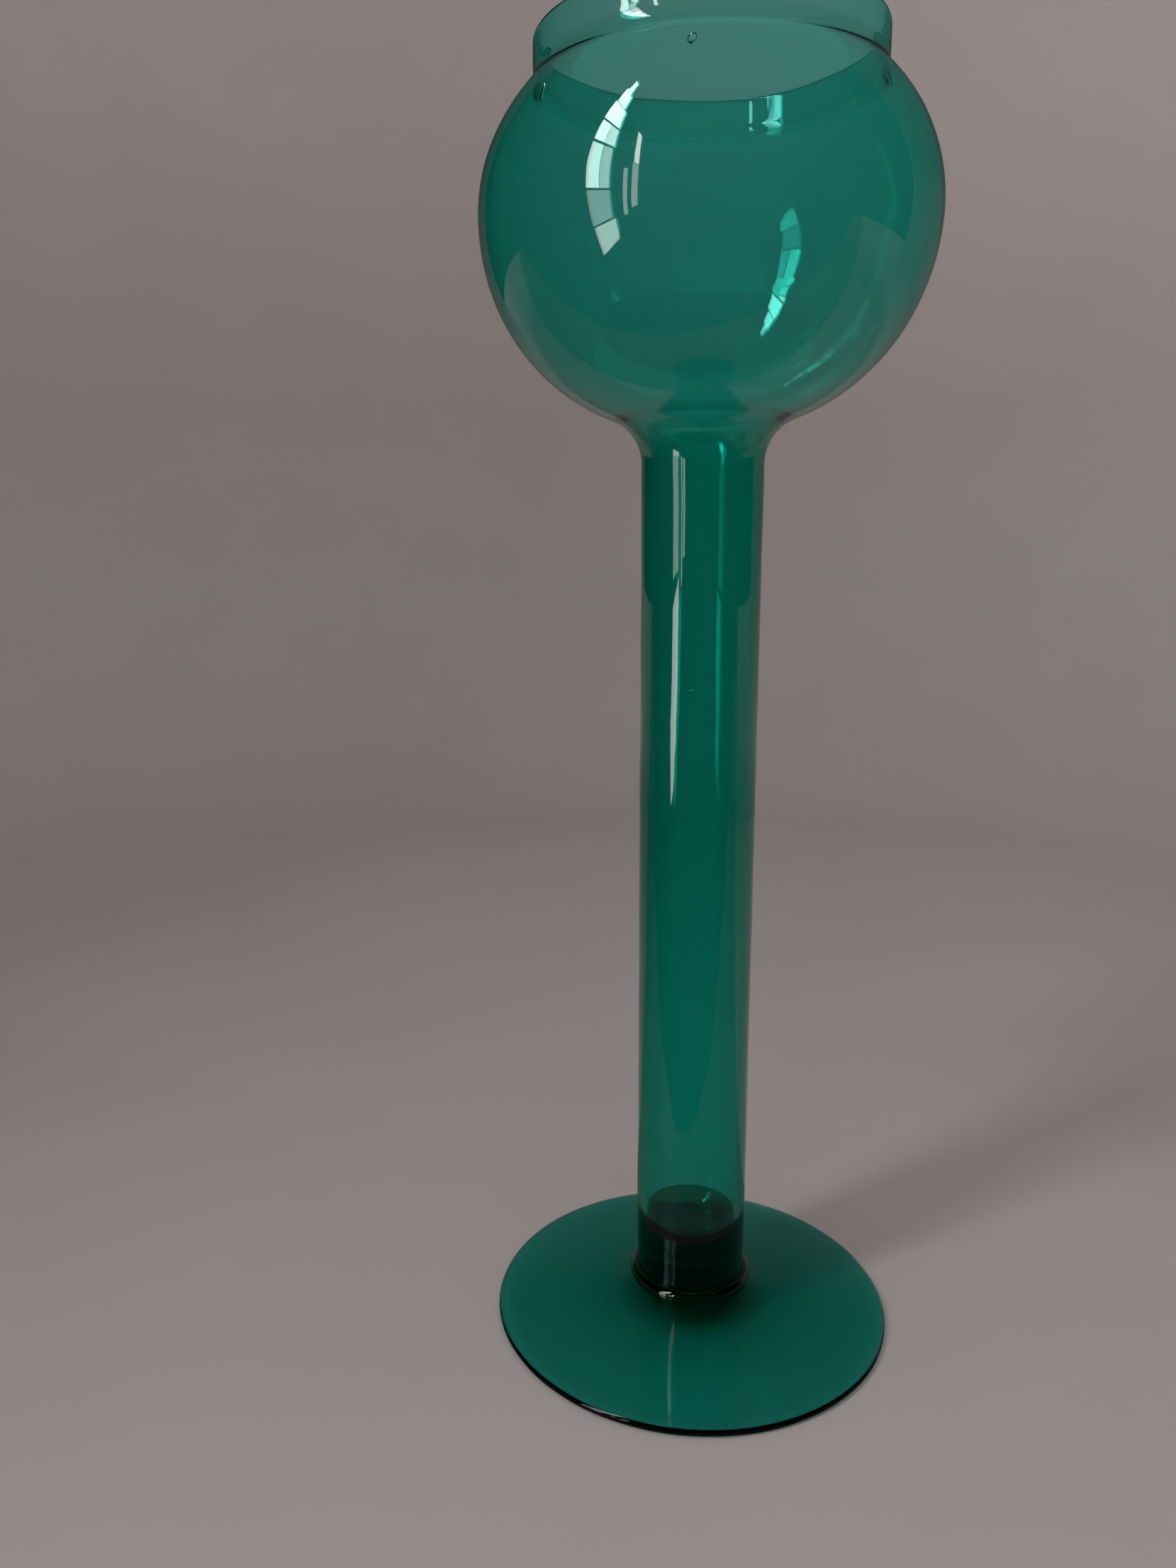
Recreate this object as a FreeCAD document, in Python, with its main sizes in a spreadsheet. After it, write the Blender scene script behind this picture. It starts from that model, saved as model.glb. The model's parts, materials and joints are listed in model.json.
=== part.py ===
import FreeCAD, Part
import Sketcher
import math
import os

# Stemmed globe vase of hand-blown glass, in millimetres. +Z is up, and the origin is the
# centre of the plane that the foot stands on. Every piece is a solid of revolution about Z.
# The glassmaker joins the pieces hot, so neighbours meet face to face at level weld planes.

# Driving dimensions: alias, value, meaning. Heights are above the resting plane.
DIMENSIONS = [
    ("total_height", 300.0, "resting plane to the top of the lip"),
    ("foot_radius", 49.1, "outer radius of the foot"),
    ("foot_edge_radius", 1.0, "rounding of the foot's outer edge"),
    ("foot_dish_depth", 2.4, "hollow under the middle of the foot"),
    ("foot_ring_radius", 43.0, "inner radius of the flat ring that the foot rests on"),
    ("foot_cove_radius", 23.0, "where the cove round the stem runs out into the slope"),
    ("foot_cove_height", 5.0, "height of the foot's top at the end of the cove"),
    ("foot_top_height", 7.4, "weld plane between the foot and the merese"),
    ("merese_radius", 15.2, "widest radius of the merese"),
    ("merese_top_height", 11.4, "weld plane between the merese and the stem's solid end"),
    ("plug_top_height", 27.0, "weld plane between the solid end and the tube"),
    ("stem_base_radius", 13.5, "outer radius at the merese"),
    ("stem_top_radius", 13.95, "outer radius at the neck"),
    ("bore_radius", 11.3, "radius of the bore"),
    ("cup_corner_radius", 5.5, "rounding between the bore and its flat floor"),
    ("neck_weld_height", 205.0, "weld plane between the tube and the globe"),
    ("flare_radius", 10.6, "outer cove from the stem into the globe"),
    ("throat_radius", 12.5, "inner rounding from the bore into the globe"),
    ("equator_radius", 50.35, "outer radius of the globe"),
    ("equator_height", 263.1, "height of the globe's widest circle"),
    ("lower_arc_radius", 45.1, "outer arc of the globe below its widest circle"),
    ("bowl_wall", 1.5, "wall of the globe at its widest circle"),
    ("neck_wall", 1.9, "wall of the globe at the bottom"),
    ("crease_height", 290.7, "weld plane between the globe and the collar"),
    ("crease_radius", 37.75, "outer radius at the crease"),
    ("crease_inner_radius", 36.05, "inner radius at the crease"),
    ("collar_radius", 38.05, "outer radius of the collar"),
    ("collar_inner_radius", 36.7, "inner radius of the collar"),
    ("collar_root", 1.2, "height over which the collar's walls swell from the crease"),
]
SHEET_NAME = "Dims"

# Vertex numbers of sketch geometry, and the sketch's own origin and axes.
START, END, CENTRE = 1, 2, 3
ORIGIN = (-1, 1)
HORIZONTAL_AXIS = -1
VERTICAL_AXIS = -2


def add_sheet(doc):
    """Write the driving dimensions to a sheet, one named cell each."""
    sheet = doc.addObject("Spreadsheet::Sheet", SHEET_NAME)
    for row, (alias, value, meaning) in enumerate(DIMENSIONS, start=1):
        sheet.set(f"A{row}", meaning)
        sheet.set(f"B{row}", str(value))
        sheet.setAlias(f"B{row}", alias)
    doc.recompute()
    return sheet


def cell(formula):
    """Turn a formula of sheet aliases into an expression on the sheet's cells."""
    names = sorted((alias for alias, _, _ in DIMENSIONS), key=len, reverse=True)
    words = []
    for word in formula.split():
        words.append(f"{SHEET_NAME}.{word}" if word in names else word)
    return " ".join(words)


def point_at(centre, radius, angle):
    """Point of a circle at an angle in degrees."""
    turn = math.radians(angle)
    return (centre[0] + radius * math.cos(turn), centre[1] + radius * math.sin(turn))


class HalfSection:
    """A closed half-section (radius across, height up) that is turned about the Z axis."""

    def __init__(self, doc, label):
        self.body = doc.addObject("PartDesign::Body", label)
        self.body.Label = label
        self.sketch = self.body.newObject("Sketcher::SketchObject", label + "_section")
        planes = self.body.Origin.OriginFeatures
        plane = next(item for item in planes if item.Role == "XZ_Plane")
        self.sketch.AttachmentSupport = [(plane, "")]
        self.sketch.MapMode = "FlatFace"
        self.label = label

    def line(self, start, end):
        """Add a straight edge and return its number."""
        edge = Part.LineSegment(FreeCAD.Vector(*start, 0), FreeCAD.Vector(*end, 0))
        return self.sketch.addGeometry(edge, False)

    def arc(self, centre, radius, start_angle, end_angle):
        """Add an arc that runs counter-clockwise between two angles in degrees."""
        circle = Part.Circle(FreeCAD.Vector(*centre, 0), FreeCAD.Vector(0, 0, 1), radius)
        edge = Part.ArcOfCircle(circle, math.radians(start_angle), math.radians(end_angle))
        return self.sketch.addGeometry(edge, False)

    def join(self, first, second):
        """Join two edge ends, each given as (edge, vertex)."""
        self.sketch.addConstraint(Sketcher.Constraint("Coincident", *first, *second))

    def blend(self, first, second):
        """Join two edge ends so that the outline runs on smoothly."""
        self.sketch.addConstraint(Sketcher.Constraint("Tangent", *first, *second))

    def level(self, *edges):
        """Hold straight edges level."""
        for edge in edges:
            self.sketch.addConstraint(Sketcher.Constraint("Horizontal", edge))

    def upright(self, *edges):
        """Hold straight edges upright."""
        for edge in edges:
            self.sketch.addConstraint(Sketcher.Constraint("Vertical", edge))

    def same_height(self, first, second):
        """Hold two points, each given as (edge, vertex), at one height."""
        self.sketch.addConstraint(Sketcher.Constraint("Horizontal", *first, *second))

    def on_axis(self, point):
        """Hold a point on the axis of revolution."""
        constraint = Sketcher.Constraint("PointOnObject", *point, VERTICAL_AXIS)
        self.sketch.addConstraint(constraint)

    def on_base(self, point):
        """Hold a point on the resting plane."""
        constraint = Sketcher.Constraint("PointOnObject", *point, HORIZONTAL_AXIS)
        self.sketch.addConstraint(constraint)

    def _bind(self, constraint, name, formula):
        number = self.sketch.addConstraint(constraint)
        self.sketch.renameConstraint(number, name)
        self.sketch.setExpression(f"Constraints.{name}", cell(formula))

    def across(self, point, name, formula, start):
        """Bind a point's radius; start is its value before the sheet is read."""
        self._bind(Sketcher.Constraint("DistanceX", *ORIGIN, *point, start), name, formula)

    def height(self, point, name, formula, start):
        """Bind a point's height; start is its value before the sheet is read."""
        self._bind(Sketcher.Constraint("DistanceY", *ORIGIN, *point, start), name, formula)

    def bend(self, edge, name, formula, start):
        """Bind an arc's radius; start is its value before the sheet is read."""
        self._bind(Sketcher.Constraint("Radius", edge, start), name, formula)

    def turn(self):
        """Revolve the section through a full turn and return the body."""
        solid = self.body.newObject("PartDesign::Revolution", self.label + "_turned")
        solid.Profile = self.sketch
        solid.ReferenceAxis = (self.sketch, ["V_Axis"])
        solid.Angle = 360.0
        self.sketch.Visibility = False
        return self.body


def foot_top(d):
    """Direction of the normal of the foot's slope in degrees, and the radius of its cove."""
    cove = (d["foot_cove_radius"], d["foot_cove_height"])
    edge = (d["foot_radius"] - d["foot_edge_radius"], d["foot_edge_radius"])
    toward = math.atan2(edge[1] - cove[1], edge[0] - cove[0])
    lean = toward + math.asin(d["foot_edge_radius"] / math.dist(edge, cove))
    chord = (d["stem_base_radius"] - cove[0], d["foot_top_height"] - cove[1])
    rise = chord[1] * math.cos(lean) - chord[0] * math.sin(lean)
    return math.degrees(lean) + 90, (chord[0] ** 2 + chord[1] ** 2) / (2 * rise)


def add_foot(doc, d):
    """Wide disc foot: dished below, resting on a flat ring, sloping down from the stem."""
    section = HalfSection(doc, "disc_foot")
    weld_r, weld_z = d["stem_base_radius"], d["foot_top_height"]
    dish_z, ring_r = d["foot_dish_depth"], d["foot_ring_radius"]
    dish_bend = (ring_r ** 2 + dish_z ** 2) / (2 * dish_z)
    dish_angle = math.degrees(math.acos(ring_r / dish_bend))
    edge_r, rounding = d["foot_radius"] - d["foot_edge_radius"], d["foot_edge_radius"]
    cove = (d["foot_cove_radius"], d["foot_cove_height"])
    upward, cove_bend = foot_top(d)
    edge_top = point_at((edge_r, rounding), rounding, upward)
    cove_centre = point_at(cove, cove_bend, upward)
    weld_angle = math.degrees(math.atan2(weld_z - cove_centre[1], weld_r - cove_centre[0]))

    axis = section.line((0, weld_z), (0, dish_z))
    dish = section.arc((0, dish_z - dish_bend), dish_bend, dish_angle, 90)
    ring = section.line((ring_r, 0), (edge_r, 0))
    edge = section.arc((edge_r, rounding), rounding, -90, upward)
    slope = section.line(edge_top, cove)
    rise = section.arc(cove_centre, cove_bend, weld_angle, upward - 180)
    weld = section.line((weld_r, weld_z), (0, weld_z))

    section.join((axis, END), (dish, END))
    section.join((dish, START), (ring, START))
    section.blend((ring, END), (edge, START))
    section.blend((edge, END), (slope, START))
    section.blend((slope, END), (rise, END))
    section.join((rise, START), (weld, START))
    section.join((weld, END), (axis, START))
    section.on_axis((axis, START))
    section.on_axis((axis, END))
    section.on_axis((dish, CENTRE))
    section.on_base((ring, START))
    section.level(ring, weld)
    section.height((axis, START), "top", "foot_top_height", weld_z)
    section.height((axis, END), "dish", "foot_dish_depth", dish_z)
    section.across((ring, START), "ring", "foot_ring_radius", ring_r)
    section.across((ring, END), "flat", "foot_radius - foot_edge_radius", edge_r)
    section.bend(edge, "edge", "foot_edge_radius", rounding)
    section.across((slope, END), "cove_radius", "foot_cove_radius", cove[0])
    section.height((slope, END), "cove_height", "foot_cove_height", cove[1])
    section.across((weld, START), "weld", "stem_base_radius", weld_r)
    return section.turn()


def add_merese(doc, d):
    """Bulged ring of solid glass between the foot and the stem."""
    section = HalfSection(doc, "merese_ring")
    weld_r, bottom, top = d["stem_base_radius"], d["foot_top_height"], d["merese_top_height"]
    bulge = d["merese_radius"] - weld_r
    half = (top - bottom) / 2
    bend = (half ** 2 + bulge ** 2) / (2 * bulge)
    angle = math.degrees(math.asin(half / bend))

    axis = section.line((0, top), (0, bottom))
    lower = section.line((0, bottom), (weld_r, bottom))
    side = section.arc((d["merese_radius"] - bend, bottom + half), bend, -angle, angle)
    upper = section.line((weld_r, top), (0, top))

    section.join((axis, END), (lower, START))
    section.join((lower, END), (side, START))
    section.join((side, END), (upper, START))
    section.join((upper, END), (axis, START))
    section.on_axis((axis, START))
    section.on_axis((axis, END))
    section.level(lower, upper)
    section.height((axis, END), "bottom", "foot_top_height", bottom)
    section.height((axis, START), "top", "merese_top_height", top)
    section.across((lower, END), "lower_weld", "stem_base_radius", weld_r)
    section.across((upper, START), "upper_weld", "stem_base_radius", weld_r)
    sagitta = "( merese_radius - stem_base_radius )"
    chord = "( ( merese_top_height - foot_top_height ) / 2 )"
    section.bend(side, "bulge", f"( {chord} ^ 2 + {sagitta} ^ 2 ) / ( 2 * {sagitta} )", bend)
    return section.turn()


# The stem's outside is one long cone from the merese to the neck, cut at the plug's top.
PLUG_TOP_RADIUS = (
    "stem_base_radius + ( stem_top_radius - stem_base_radius )"
    " * ( plug_top_height - merese_top_height ) / ( neck_weld_height - merese_top_height )"
)


def plug_top_radius(d):
    """Outer radius of the stem where the solid end meets the tube."""
    share = d["plug_top_height"] - d["merese_top_height"]
    share = share / (d["neck_weld_height"] - d["merese_top_height"])
    return d["stem_base_radius"] + (d["stem_top_radius"] - d["stem_base_radius"]) * share


def add_plug(doc, d):
    """Solid end of the stem, with the rounded, flat-floored end of the bore in its top."""
    section = HalfSection(doc, "stem_plug")
    bottom, top, bore = d["merese_top_height"], d["plug_top_height"], d["bore_radius"]
    corner, side_r = d["cup_corner_radius"], plug_top_radius(d)
    floor_r, floor_z = bore - corner, top - corner

    axis = section.line((0, floor_z), (0, bottom))
    lower = section.line((0, bottom), (d["stem_base_radius"], bottom))
    side = section.line((d["stem_base_radius"], bottom), (side_r, top))
    upper = section.line((side_r, top), (bore, top))
    cup = section.arc((floor_r, top), corner, -90, 0)
    floor = section.line((floor_r, floor_z), (0, floor_z))

    section.join((axis, END), (lower, START))
    section.join((lower, END), (side, START))
    section.join((side, END), (upper, START))
    section.join((upper, END), (cup, END))
    section.blend((cup, START), (floor, START))
    section.join((floor, END), (axis, START))
    section.on_axis((axis, START))
    section.on_axis((axis, END))
    section.level(lower, upper, floor)
    section.height((axis, END), "bottom", "merese_top_height", bottom)
    section.height((upper, START), "top", "plug_top_height", top)
    section.height((cup, CENTRE), "cup_height", "plug_top_height", top)
    section.across((lower, END), "base", "stem_base_radius", d["stem_base_radius"])
    section.across((side, END), "side", PLUG_TOP_RADIUS, side_r)
    section.across((upper, END), "bore", "bore_radius", bore)
    section.bend(cup, "cup", "cup_corner_radius", corner)
    return section.turn()


def add_stem(doc, d):
    """Long drawn tube, a little wider at the top."""
    section = HalfSection(doc, "hollow_stem")
    bottom, top, bore = d["plug_top_height"], d["neck_weld_height"], d["bore_radius"]
    side_r, top_r = plug_top_radius(d), d["stem_top_radius"]

    lower = section.line((bore, bottom), (side_r, bottom))
    side = section.line((side_r, bottom), (top_r, top))
    upper = section.line((top_r, top), (bore, top))
    wall = section.line((bore, top), (bore, bottom))

    section.join((lower, END), (side, START))
    section.join((side, END), (upper, START))
    section.join((upper, END), (wall, START))
    section.join((wall, END), (lower, START))
    section.level(lower, upper)
    section.upright(wall)
    section.height((lower, END), "bottom", "plug_top_height", bottom)
    section.height((upper, START), "top", "neck_weld_height", top)
    section.across((wall, END), "bore", "bore_radius", bore)
    section.across((lower, END), "base", PLUG_TOP_RADIUS, side_r)
    section.across((upper, START), "neck", "stem_top_radius", top_r)
    return section.turn()


def cove_height(d, side_r, cove, ball_r, ball):
    """Height at which a cove leaves an upright wall and just meets the globe's arc."""
    across = side_r + cove - (ball_r - ball)
    return d["equator_height"] - math.sqrt((ball + cove) ** 2 - across ** 2)


def cove_angle(side_r, cove, ball_r, ball):
    """Angle of the cove's meeting point with the globe's arc, seen from the cove's centre."""
    across = side_r + cove - (ball_r - ball)
    return math.degrees(math.acos(-across / (ball + cove)))


def shoulder_bend(equator_r, crease_r, rise):
    """Radius of the arc that is upright at the widest circle and passes the crease."""
    inset = equator_r - crease_r
    return (inset ** 2 + rise ** 2) / (2 * inset)


def add_wall(section, d, wall_radius, cove, equator_r, ball, crease_r):
    """Draw one face of the globe: neck line, cove, lower arc and shoulder, smoothly joined."""
    middle = d["equator_height"]
    start_z = cove_height(d, wall_radius, cove, equator_r, ball)
    meet = cove_angle(wall_radius, cove, equator_r, ball)
    rise = d["crease_height"] - middle
    bend = shoulder_bend(equator_r, crease_r, rise)
    lean = math.degrees(math.asin(rise / bend))

    neck = section.line((wall_radius, d["neck_weld_height"]), (wall_radius, start_z))
    flare = section.arc((wall_radius + cove, start_z), cove, meet, 180)
    lower = section.arc((equator_r - ball, middle), ball, meet - 180, 0)
    shoulder = section.arc((equator_r - bend, middle), bend, 0, lean)

    section.upright(neck)
    section.blend((neck, END), (flare, END))
    section.blend((flare, START), (lower, START))
    section.blend((lower, END), (shoulder, START))
    section.same_height((shoulder, CENTRE), (shoulder, START))
    return neck, flare, lower, shoulder


def add_globe(doc, d):
    """Blown globe with an open top, running down through a cove into the neck."""
    section = HalfSection(doc, "globe_bowl")
    inner_r = d["equator_radius"] - d["bowl_wall"]
    inner_ball = d["lower_arc_radius"] - d["neck_wall"]
    outer = add_wall(section, d, d["stem_top_radius"], d["flare_radius"],
                     d["equator_radius"], d["lower_arc_radius"], d["crease_radius"])
    inner = add_wall(section, d, d["bore_radius"], d["throat_radius"],
                     inner_r, inner_ball, d["crease_inner_radius"])
    weld_z, crease_z = d["neck_weld_height"], d["crease_height"]
    lower_weld = section.line((d["bore_radius"], weld_z), (d["stem_top_radius"], weld_z))
    crease = section.line((d["crease_radius"], crease_z), (d["crease_inner_radius"], crease_z))

    section.join((lower_weld, START), (inner[0], START))
    section.join((lower_weld, END), (outer[0], START))
    section.join((crease, START), (outer[3], END))
    section.join((crease, END), (inner[3], END))
    section.level(lower_weld, crease)
    section.height((lower_weld, END), "neck_weld", "neck_weld_height", weld_z)
    section.height((crease, START), "crease_level", "crease_height", crease_z)
    section.across((outer[0], START), "neck_outer", "stem_top_radius", d["stem_top_radius"])
    section.across((inner[0], START), "neck_inner", "bore_radius", d["bore_radius"])
    section.bend(outer[1], "flare", "flare_radius", d["flare_radius"])
    section.bend(inner[1], "throat", "throat_radius", d["throat_radius"])
    section.bend(outer[2], "lower_outer", "lower_arc_radius", d["lower_arc_radius"])
    section.bend(inner[2], "lower_inner", "lower_arc_radius - neck_wall", inner_ball)
    section.across((outer[3], START), "equator", "equator_radius", d["equator_radius"])
    section.across((inner[3], START), "inner_equator", "equator_radius - bowl_wall", inner_r)
    middle = d["equator_height"]
    section.height((outer[3], START), "middle", "equator_height", middle)
    section.height((inner[3], START), "inner_middle", "equator_height", middle)
    section.across((outer[3], END), "crease_outer", "crease_radius", d["crease_radius"])
    section.across((inner[3], END), "crease_inner", "crease_inner_radius",
                   d["crease_inner_radius"])
    return section.turn()


def add_collar(doc, d):
    """Short straight collar with a fully rounded, fire-polished lip."""
    section = HalfSection(doc, "collar_rim")
    bottom, top, root = d["crease_height"], d["total_height"], d["collar_root"]
    outer_r, inner_r = d["collar_radius"], d["collar_inner_radius"]
    lip = (outer_r - inner_r) / 2
    creases = (d["crease_inner_radius"], d["crease_radius"])

    crease = section.line((creases[0], bottom), (creases[1], bottom))
    outer_root = section.line((creases[1], bottom), (outer_r, bottom + root))
    outer = section.line((outer_r, bottom + root), (outer_r, top - lip))
    rim = section.arc((inner_r + lip, top - lip), lip, 0, 180)
    inner = section.line((inner_r, top - lip), (inner_r, bottom + root))
    inner_root = section.line((inner_r, bottom + root), (creases[0], bottom))

    section.join((crease, END), (outer_root, START))
    section.join((outer_root, END), (outer, START))
    section.blend((outer, END), (rim, START))
    section.blend((rim, END), (inner, START))
    section.join((inner, END), (inner_root, START))
    section.join((inner_root, END), (crease, START))
    section.level(crease)
    section.upright(outer, inner)
    section.height((crease, END), "crease_level", "crease_height", bottom)
    section.across((crease, START), "crease_inner", "crease_inner_radius", creases[0])
    section.across((crease, END), "crease_outer", "crease_radius", creases[1])
    section.across((outer, START), "outside", "collar_radius", outer_r)
    section.across((inner, END), "inside", "collar_inner_radius", inner_r)
    section.height((outer, START), "outer_root", "crease_height + collar_root", bottom + root)
    section.height((inner, END), "inner_root", "crease_height + collar_root", bottom + root)
    lip_centre = "total_height - ( collar_radius - collar_inner_radius ) / 2"
    section.height((rim, CENTRE), "lip", lip_centre, top - lip)
    return section.turn()


def check(doc, bodies):
    """Stop if any object failed, or any body isn't one valid closed solid."""
    for item in doc.Objects:
        if "Invalid" in item.State or "Error" in item.State:
            raise RuntimeError(f"{item.Label} did not build: {item.State}")
    for body in bodies:
        shape = body.Shape
        if shape.isNull() or not shape.isValid() or len(shape.Solids) != 1:
            raise RuntimeError(f"{body.Label} isn't one valid solid")
        sketch = next(item for item in body.Group if item.isDerivedFrom("Sketcher::SketchObject"))
        if not sketch.FullyConstrained:
            raise RuntimeError(f"{sketch.Label} is not fully constrained")
        box = shape.optimalBoundingBox()
        print(f"{body.Label:12} z {box.ZMin:7.2f} to {box.ZMax:7.2f}"
              f"  radius {box.XMax:6.2f}  volume {shape.Volume / 1000:7.2f} cm3")


def main():
    doc = FreeCAD.newDocument("globe_vase")
    add_sheet(doc)
    d = {alias: value for alias, value, _ in DIMENSIONS}
    makers = [add_foot, add_merese, add_plug, add_stem, add_globe, add_collar]
    bodies = [make(doc, d) for make in makers]
    doc.recompute()
    check(doc, bodies)
    os.makedirs("parts", exist_ok=True)
    for body in bodies:
        body.Shape.exportStep(f"parts/{body.Label}.step")


main()
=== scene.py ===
import json
import math

import bmesh
import bpy
import numpy as np
from mathutils import Matrix, Vector


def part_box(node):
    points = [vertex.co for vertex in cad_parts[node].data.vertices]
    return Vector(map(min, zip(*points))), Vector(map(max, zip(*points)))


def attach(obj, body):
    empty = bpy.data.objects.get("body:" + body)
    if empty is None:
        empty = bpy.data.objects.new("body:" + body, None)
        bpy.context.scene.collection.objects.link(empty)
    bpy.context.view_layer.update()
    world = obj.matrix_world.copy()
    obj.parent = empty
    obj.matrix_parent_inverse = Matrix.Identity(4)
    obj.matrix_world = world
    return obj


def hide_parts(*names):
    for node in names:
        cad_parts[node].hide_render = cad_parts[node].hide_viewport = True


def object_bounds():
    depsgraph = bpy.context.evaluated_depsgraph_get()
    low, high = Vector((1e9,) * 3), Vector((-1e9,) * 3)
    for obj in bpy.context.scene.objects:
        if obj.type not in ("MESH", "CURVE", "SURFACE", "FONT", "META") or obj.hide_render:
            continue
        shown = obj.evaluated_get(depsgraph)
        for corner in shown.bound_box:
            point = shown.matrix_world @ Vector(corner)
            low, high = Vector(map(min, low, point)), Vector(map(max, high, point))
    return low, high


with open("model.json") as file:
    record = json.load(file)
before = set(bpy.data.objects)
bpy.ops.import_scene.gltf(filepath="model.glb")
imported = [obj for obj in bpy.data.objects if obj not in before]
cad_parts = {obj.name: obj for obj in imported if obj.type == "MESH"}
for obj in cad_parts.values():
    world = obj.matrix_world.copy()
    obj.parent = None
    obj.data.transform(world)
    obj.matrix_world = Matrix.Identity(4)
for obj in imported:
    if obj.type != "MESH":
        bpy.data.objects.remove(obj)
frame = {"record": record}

# A hand-blown, stemmed globe vase of teal glass, in metres, in the CAD model's frame.
# Each CAD node is replaced by a finely turned glass piece of the same shape, with the small
# unevenness, rounded lip and seeds (tiny bubbles) of glass made by hand.

cad_low, cad_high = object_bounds()
MM = 0.001

# ---------------------------------------------------------------- sizes from the frame
foot_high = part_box("disc_foot")[1]
merese_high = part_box("merese_ring")[1]
plug_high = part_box("stem_plug")[1]
stem_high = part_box("hollow_stem")[1]
globe_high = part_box("globe_bowl")[1]
collar_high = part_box("collar_rim")[1]
mounts = {mount["name"]: mount for mount in frame["record"]["mounts"]}

FOOT_RADIUS = foot_high.x
FOOT_TOP = foot_high.z
MERESE_RADIUS = merese_high.x
MERESE_TOP = merese_high.z
PLUG_TOP = plug_high.z
NECK_RADIUS = stem_high.x
NECK_TOP = stem_high.z
EQUATOR_RADIUS = globe_high.x
CREASE_HEIGHT = globe_high.z
COLLAR_RADIUS = collar_high.x
LIP_HEIGHT = collar_high.z
COLLAR_INNER = mounts["collar_mouth"]["dims"]["r_mm"] * MM

# ---------------------------------------------------------------- sizes repeated from part.py
FOOT_EDGE = 1.0 * MM
DISH_DEPTH = 2.4 * MM
RING_INNER = 43.0 * MM
COVE_END = (23.0 * MM, 5.0 * MM)
STEM_BASE = 13.5 * MM
BORE = 11.3 * MM
CUP_CORNER = 5.5 * MM
FLARE = 10.6 * MM
THROAT = 12.5 * MM
EQUATOR_HEIGHT = 263.1 * MM
LOWER_ARC = 45.1 * MM
BOWL_WALL = 1.5 * MM
NECK_WALL = 1.9 * MM
CREASE_RADIUS = 37.75 * MM
CREASE_INNER = 36.05 * MM
# The CAD's crease is sharp; here a curve softens it, starting this far away on each side.
CREASE_REACH = 3.0 * MM

# ---------------------------------------------------------------- fineness and unevenness
AROUND = 288
FINE_STEP = 0.5 * MM
EDGE_STEP = 0.15 * MM
LIP_STEP = 0.1 * MM
CUP_STEP = 0.25 * MM
BULGE_STEP = 0.2 * MM
GLOBE_STEP = 0.9 * MM
MIDDLE_STEP = 1.0 * MM
DISH_STEP = 1.5 * MM
LONG_STEP = 2.5 * MM
CREASE_STEPS = 12
FEWEST_STEPS = 4
NEARLY_ZERO = 1e-9
WELD_GAP = 0.02 * MM
SAME_POINT = 0.2 * WELD_GAP
FLAT_BASE = 0.1 * MM
# Every radius is drawn in by this factor, so that the waves stay inside the CAD model's box.
INSET = 0.9985
WAVE_HEIGHT = 0.035 * MM
SEED = 11


def turned(centre, radius, start, end, step=FINE_STEP):
    """Points along an arc of a half-section, from start to end in degrees, both included."""
    length = abs(math.radians(end - start)) * radius
    count = max(FEWEST_STEPS, math.ceil(length / step))
    angles = [math.radians(start + (end - start) * i / count) for i in range(count + 1)]
    return [(centre[0] + radius * math.cos(a), centre[1] + radius * math.sin(a)) for a in angles]


def straight(start, end, step=LONG_STEP):
    """Points along a line of a half-section, both ends included."""
    count = max(1, math.ceil(math.dist(start, end) / step))
    return [tuple(s + (e - s) * i / count for s, e in zip(start, end)) for i in range(count + 1)]


def chained(*runs):
    """Join runs of points into one outline, leaving out doubled points."""
    outline = []
    for run in runs:
        for point in run:
            if not outline or math.dist(outline[-1], point) > SAME_POINT:
                outline.append(point)
    if math.dist(outline[-1], outline[0]) < SAME_POINT:
        outline.pop()
    return outline


def plug_top_radius():
    """The stem's outside is one cone; this is its radius where the solid end meets the tube."""
    share = (PLUG_TOP - MERESE_TOP) / (NECK_TOP - MERESE_TOP)
    return STEM_BASE + (NECK_RADIUS - STEM_BASE) * share


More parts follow.
